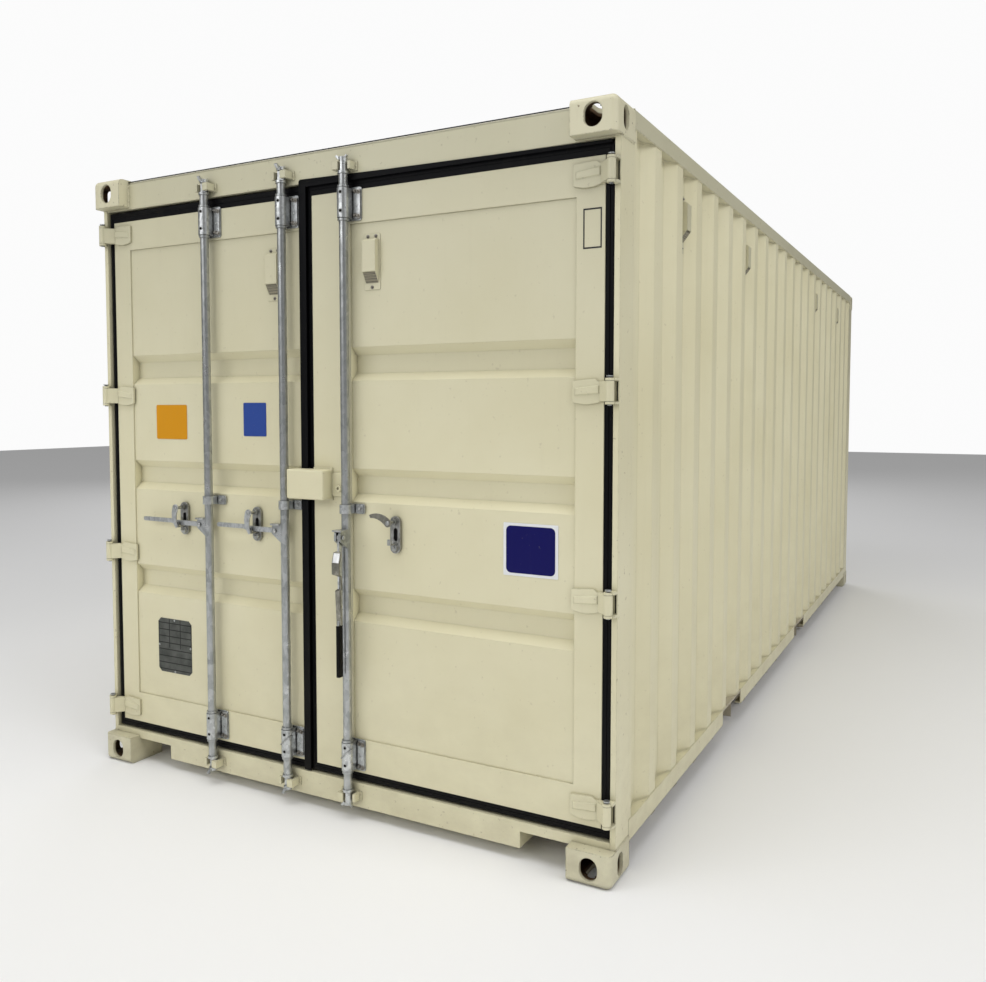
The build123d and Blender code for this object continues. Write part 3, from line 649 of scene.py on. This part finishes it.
# Vents: gauze in the mouth, two screws above and one below
def door_vent_details():
    tilt = math.atan2(0.022, 0.040)
    for side, x0, x1, z0, z1 in (("left", -0.270, -0.210, 2.045, 2.210),
                                 ("right", 0.204, 0.264, 2.060, 2.225)):
        mesh = bmesh.new()
        slab(mesh, (x0 + 0.003, plate_face - 0.0006, z0), (x1 - 0.003, plate_face + 0.0006, z0 + 0.0465))
        bmesh.ops.rotate(mesh, cent=(0, plate_face, z0 + 0.001), matrix=Matrix.Rotation(tilt, 3, "X"),
                         verts=mesh.verts)
        finish_piece(side + "_vent_gauze", mesh, vent_gauze, side + "_door")
        screws = bmesh.new()
        for x, z in ((x0 + 0.012, z1 + 0.012), (x1 - 0.012, z1 + 0.012), ((x0 + x1) / 2, z0 - 0.012)):
            bolt(screws, (x, plate_face - 0.002, z), across=0.008, high=0.003)
        finish_piece(side + "_vent_screws", screws, screw_steel, side + "_door")


def side_vent_details():
    mouth, tilt = 2.2605, math.atan2(0.032, 0.042)
    mesh = bmesh.new()
    screws = bmesh.new()
    for s in (-1, 1):
        for k in vent_folds:
            y = fold_start + fold_pitch * k + 0.101
            first = len(mesh.verts)
            slab(mesh, (s * 1.1785, y - 0.0245, mouth), (s * 1.1797, y + 0.0245, mouth + 0.046))
            mesh.verts.ensure_lookup_table()
            bmesh.ops.rotate(mesh, cent=(s * 1.178, y, mouth), matrix=Matrix.Rotation(s * tilt, 3, "Y"),
                             verts=mesh.verts[first:])
            for across, level in ((0.012, 2.430), (0.0, 2.233), (-0.014, 2.430)):
                bolt(screws, (s * 1.179, y + across, level), (s, 0, 0), across=0.009, high=0.003)
    finish_piece("side_vent_gauze", mesh, vent_gauze, "container")
    finish_piece("side_vent_screws", screws, screw_steel, "container")


# Plates on the doors, all bare
def clipped(shape, x0, x1, z0, z1, y, thick, clip):
    slab(shape, (x0, y - thick, z0), (x1, y, z1))
    corners = [e for e in shape.edges if abs(e.verts[0].co.y - e.verts[1].co.y) > thick * 0.9]
    ease(shape, corners, *clip)
    ease(shape, edges_at(shape, y - thick), thick * 0.3, 1)


def door_plates():
    thick = 0.0015
    for name, box, material, body, clip in (
        ("grey_data_plate", (-0.936, -0.735, 0.430, 0.670), plate_grey, "left_door", (0.016, 1)),
        ("orange_plate", (-0.922, -0.739, 1.462, 1.610), plate_orange, "left_door", (0.006, 3)),
        ("blue_plate", (-0.417, -0.295, 1.481, 1.618), plate_blue, "left_door", (0.005, 3)),
        ("white_panel", (0.787, 0.997, 1.011, 1.197), panel_white, "right_door", (0.003, 2)),
    ):
        shape = bmesh.new()
        clipped(shape, *box, plate_face, thick, clip)
        finish_piece(name, shape, material, body)
    inner = bmesh.new()
    clipped(inner, 0.798, 0.986, 1.021, 1.187, plate_face - 0.0014, 0.0006, (0.018, 6))
    finish_piece("blue_panel", inner, panel_blue, "right_door")
    rivets = bmesh.new()
    for x, z in ((-0.836, 0.664), (-0.836, 0.436), (-0.930, 0.550), (-0.741, 0.550)):
        rivet(rivets, (x, plate_face - thick, z), radius=0.005, high=0.002)
    finish_piece("data_plate_rivets", rivets, bolt_zinc, "left_door")


def empty_frame():
    # four flat strips with nothing between them
    left, right, low, high = 1.083, 1.148, 2.119, 2.250
    rail, stile = 0.005, 0.0045
    border = bmesh.new()
    for x0, x1, z0, z1 in ((left, right, high - rail, high), (left, right, low, low + rail),
                           (left, left + stile, low + rail, high - rail),
                           (right - stile, right, low + rail, high - rail)):
        slab(border, (x0, leaf_face - 0.0006, z0), (x1, leaf_face, z1))
    finish_piece("digit_frame", border, frame_line, "right_door")


# Rubber: a bead runs round each leaf and a lip covers the joint
def seal_beads():
    # the bead lies this share of the way from the frame's edge to the seal's edge
    share = 0.55
    y = leaf_face + 0.004
    low = 0.180 - 0.031 * share
    high = 2.416 + 0.041 * share
    for side, frame_edges, seal_edges in (("left", (-1.160, -0.103), (-1.187, -0.080)),
                                          ("right", (-0.047, 1.160), (-0.070, 1.187))):
        left, right = [a + (b - a) * share for a, b in zip(frame_edges, seal_edges)]
        beads = bmesh.new()
        corners = [(left, y, low), (right, y, low), (right, y, high), (left, y, high)]
        run(beads, corners, 0.0026, closed=True)
        finish_piece(side + "_seal_beads", beads, seal_rubber, side + "_door")


def joint_lip():
    # the right leaf opens first: its lip laps over the left seal and the header
    foot = 0.146
    front, back = -2.9805, -2.9775
    outline = [(-0.103, foot), (-0.103, 2.474), (-0.096, 2.481), (0.30, 2.472), (1.187, 2.460),
               (1.187, 2.450), (0.30, 2.452), (-0.070, 2.452), (-0.070, foot)]
    lip = bmesh.new()
    rings = [[lip.verts.new((x, y, z)) for x, z in outline] for y in (front, back)]
    lip.faces.new(rings[0])
    lip.faces.new(list(reversed(rings[1])))
    count = len(outline)
    for k in range(count):
        lip.faces.new((rings[0][k], rings[1][k], rings[1][(k + 1) % count], rings[0][(k + 1) % count]))
    ease(lip, edges_at(lip, front), 0.0012, 2)
    finish_piece("right_seal_lip", lip, seal_rubber, "right_door")


def retainer_slots():
    # a dark plate behind the slot in each retainer, painted as the shade in its recess
    for side, names in bars_of:
        dark = bmesh.new()
        for x in [retainer_x[name] for name in names]:
            slab(dark, (x - 0.0085, leaf_face - 0.0012, 1.0975), (x + 0.0125, leaf_face, 1.1505), edge=0.0004)
        finish_piece(side + "_retainer_slot_shade", dark, hole_dark, side + "_door")


def header_line():
    # a dark bead along the header's top edge
    low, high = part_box("door_header")
    bead = bmesh.new()
    run(bead, [(x, low[1] + 0.0015, high[2] - 0.0005) for x in (-1.055, 1.055)], 0.0022)
    finish_piece("header_dark_line", bead, hole_dark, "container")


# Forms of the handles
def hub_bridges():
    # a flat strap closes the top of each forked hub
    low, high = handle_level + 0.0215, handle_level + 0.0285
    half, outer, inner = 0.0215, 0.060, 0.015
    for name, x in bar_x.items():
        strap = bmesh.new()
        if name == "right":
            slab(strap, (x - half, bar_line - outer, low), (x + half, bar_line - inner, high), edge=0.0018)
        else:
            slab(strap, (x - outer, bar_line - half, low), (x - inner, bar_line + half, high), edge=0.0018)
        finish_piece(name + "_hub_bridge", strap, bolt_zinc, name + "_bar")


def forged(shape, stations):
    # stations from the top down: level, depth, left edge, right edge, thickness
    count = 16
    squareness = 0.45
    loops = []
    for z, y, left, right, thick in stations:
        ring = []
        for k in range(count):
            c, d = [math.copysign(abs(v) ** squareness, v)
                    for v in (math.cos(k * math.tau / count), math.sin(k * math.tau / count))]
            ring.append(shape.verts.new(((left + right) / 2 + (right - left) / 2 * c, y + thick / 2 * d, z)))
        loops.append(ring)
    for upper, lower in zip(loops, loops[1:]):
        for k in range(count):
            shape.faces.new((upper[k], upper[(k + 1) % count], lower[(k + 1) % count], lower[k]))
    shape.faces.new(loops[0])
    shape.faces.new(list(reversed(loops[-1])))


def hanging_blade():
    # the hanging handle broadens below its bend, with a relief where it seats in its hook
    blade = bmesh.new()
    forged(blade, ((1.054, -3.0505, 0.1180, 0.1380, 0.008), (1.050, -3.0520, 0.1090, 0.1440, 0.008),
                   (1.010, -3.0630, 0.1085, 0.1445, 0.009), (0.968, -3.0625, 0.1085, 0.1445, 0.009),
                   (0.959, -3.0480, 0.1270, 0.1420, 0.008), (0.914, -3.0475, 0.1275, 0.1420, 0.008),
                   (0.906, -3.0560, 0.1190, 0.1430, 0.010), (0.774, -3.0500, 0.1200, 0.1420, 0.010)))
    finish_piece("right_handle_blade", blade, aged_zinc, "right_handle", 50.0)
    # a thin bright layer over the bend: painted highlight where its upper face catches the light
    bend = bmesh.new()
    forged(bend, ((1.0485, -3.0560, 0.1110, 0.1420, 0.0020), (1.0130, -3.0660, 0.1105, 0.1425, 0.0020)))
    finish_piece("right_handle_bend_highlight", bend, highlight_zinc, "right_handle", 50.0)


def hinge_gaps():
    # dark slabs painted as the shade in the gap behind each hinge barrel
    gaps = bmesh.new()
    for s in (-1, 1):
        x0, x1 = sorted((s * 1.2065, s * 1.2110))
        for level in hinge_levels:
            slab(gaps, (x0, -2.9780, level - 0.031), (x1, -2.9765, level + 0.031), edge=0.0003)
    finish_piece("hinge_gap_shade", gaps, hole_dark, "container")


# Weld beads where the frame meets the castings and the walls meet the rails
def frame_welds():
    casting_front, casting_back = post_face + 0.002, -2.855
    front_casting = (2.855, 2.995)
    beads = bmesh.new()
    for s in (-1, 1):
        side = s * post_side
        for z in (0.1185, 2.4725):
            weld(beads, (s * 1.196, post_face, z), (s * 1.214, post_face, z))
            weld(beads, (side, casting_front, z), (side, casting_back, z))
            weld(beads, (side, front_casting[0], z), (side, front_casting[1], z))
        weld(beads, (s * 1.057, post_face, 2.475), (s * 1.057, post_face, 2.570))
        weld(beads, (s * 1.057, casting_front, 2.583), (s * 1.057, casting_back, 2.583))
        weld(beads, (s * 1.216, -2.849, 2.585), (s * 1.180, -2.849, 2.585), 0.003)
        weld(beads, (s * 1.2145, -2.845, 2.5225), (s * 1.2145, -2.6, 2.5225), 0.002)
    finish_piece("frame_welds", beads, casting_paint, "container")


def wall_foot_welds():
    # the bead follows the folded sheet along the rail
    wall_end = 2.851
    bends = ((wall_out, 0.0), (wall_in, 0.066), (wall_in, 0.136), (wall_out, 0.202))
    for s, side in ((-1, "left"), (1, "right")):
        beads = bmesh.new()
        for level in (0.1705, 2.5225):
            folds = [(s * x, fold_start + fold_pitch * k + along, level)
                     for k in range(fold_count) for x, along in bends]
            ends = [(s * wall_out, -wall_end, level), (s * wall_out, wall_end, level)]
            run(beads, [ends[0], *folds, ends[1]], 0.0028)
        finish_piece(side + "_wall_welds", beads, wall_paint, "container")


# A thin metal strap left round the lower sleeves of two bars
def seal_straps():
    radius, wire, level = 0.0262, 0.0016, 0.262
    for name in ("left_inner", "right"):
        x = bar_x[name]
        loop = []
        for k in range(20):
            across, out = math.cos(rad(200 - k * 12)), math.sin(rad(200 - k * 12))
            depth = radius * abs(out) ** 0.8 * (1 if out > 0 else -0.3)
            loop.append((x + radius * across, bar_line - depth, level + 0.022 * across))
        strap = bmesh.new()
        run(strap, loop, wire)
        tail = ((0.022, 0.012, 0.020), (0.031, 0.020, 0.034), (0.038, 0.018, 0.044))
        run(strap, [(x + dx, bar_line - dy, level + dz) for dx, dy, dz in tail], wire)
        finish_piece(name + "_seal_strap", strap, bolt_zinc, door_of(name) + "_door")


# Floor screws in rows over each cross member, in three runs and a last row
def deck_screws():
    row_pitch = 0.295
    runs = ((-2.743, 4), (-0.883, 4), (1.002, 6))
    rows = [start + row_pitch * k for start, count in runs for k in range(count)]
    heads = bmesh.new()
    for y in (*rows, 2.742):
        for x in (-1.12, -0.84, -0.56, -0.28, -0.05, 0.05, 0.28, 0.56, 0.84, 1.12):
            rivet(heads, (x, y + 0.02, 0.1720), (0, 0, 1), 0.006, 0.0008)
    finish_piece("deck_screws", heads, screw_steel, "container")


lock_fasteners()
sleeve_holes()
pivot_heads()
keeper_rivets()
door_vent_details()
side_vent_details()
door_plates()
empty_frame()
seal_beads()
joint_lip()
retainer_slots()
header_line()
hub_bridges()
hanging_blade()
hinge_gaps()
frame_welds()
wall_foot_welds()
seal_straps()
deck_screws()


# Floor, sky and lights
def plain(name, colour, roughness):
    material, tree, surface = shader(name, roughness)
    low = (*[c * 0.985 for c in colour], 1)
    clouded = blend_colour(tree, noise(tree, even, 0.8, 3), (*colour, 1), low)
    tree.links.new(clouded, surface.inputs["Base Color"])
    return material


def floor():
    shape = bmesh.new()
    bmesh.ops.create_grid(shape, x_segments=2, y_segments=2, size=30)
    mesh = bpy.data.meshes.new("studio_floor")
    shape.to_mesh(mesh)
    shape.free()
    ground = bpy.data.objects.new("studio_floor", mesh)
    bpy.context.scene.collection.objects.link(ground)
    mesh.materials.append(plain("studio_floor", (0.90, 0.90, 0.90), 0.9))


def sky():
    # near white to the camera, dimmer as a light, and dimmer still in reflections
    world = bpy.data.worlds.new("studio_sky")
    world.use_nodes = True
    tree = world.node_tree
    background = tree.nodes["Background"]
    background.inputs["Color"].default_value = (1.0, 1.0, 1.0, 1)
    rays = add(tree, "ShaderNodeLightPath").outputs
    seen = between(tree, rays["Is Camera Ray"], 0.0, 1.0, 0.38, 0.97)
    mirrored = between(tree, rays["Is Glossy Ray"], 0.0, 1.0, 1.0, 0.30)
    tree.links.new(maths(tree, "MULTIPLY", seen, mirrored), background.inputs["Strength"])
    bpy.context.scene.world = world


def soft_light(name, place, aim, size, power):
    data = bpy.data.lights.new(name, "AREA")
    data.shape = "RECTANGLE"
    data.size, data.size_y = size
    data.energy = power
    lamp = bpy.data.objects.new(name, data)
    lamp.location = place
    lamp.rotation_euler = (Vector(aim) - Vector(place)).to_track_quat("-Z", "Y").to_euler()
    bpy.context.scene.collection.objects.link(lamp)


floor()
sky()
soft_light("key_light", (-2.5, -10.0, 4.6), (0, -3.0, 1.0), (8, 3), 170)
soft_light("side_light", (9.0, -3.5, 7.6), (1.2, -0.5, 1.0), (8, 4), 320)
soft_light("back_light", (-7.5, 10.5, 6.5), (0, 1.0, 1.0), (8, 4), 300)
soft_light("top_light", (0.3, -4.8, 9.5), (0.3, -4.0, 0.0), (8, 5), 350)
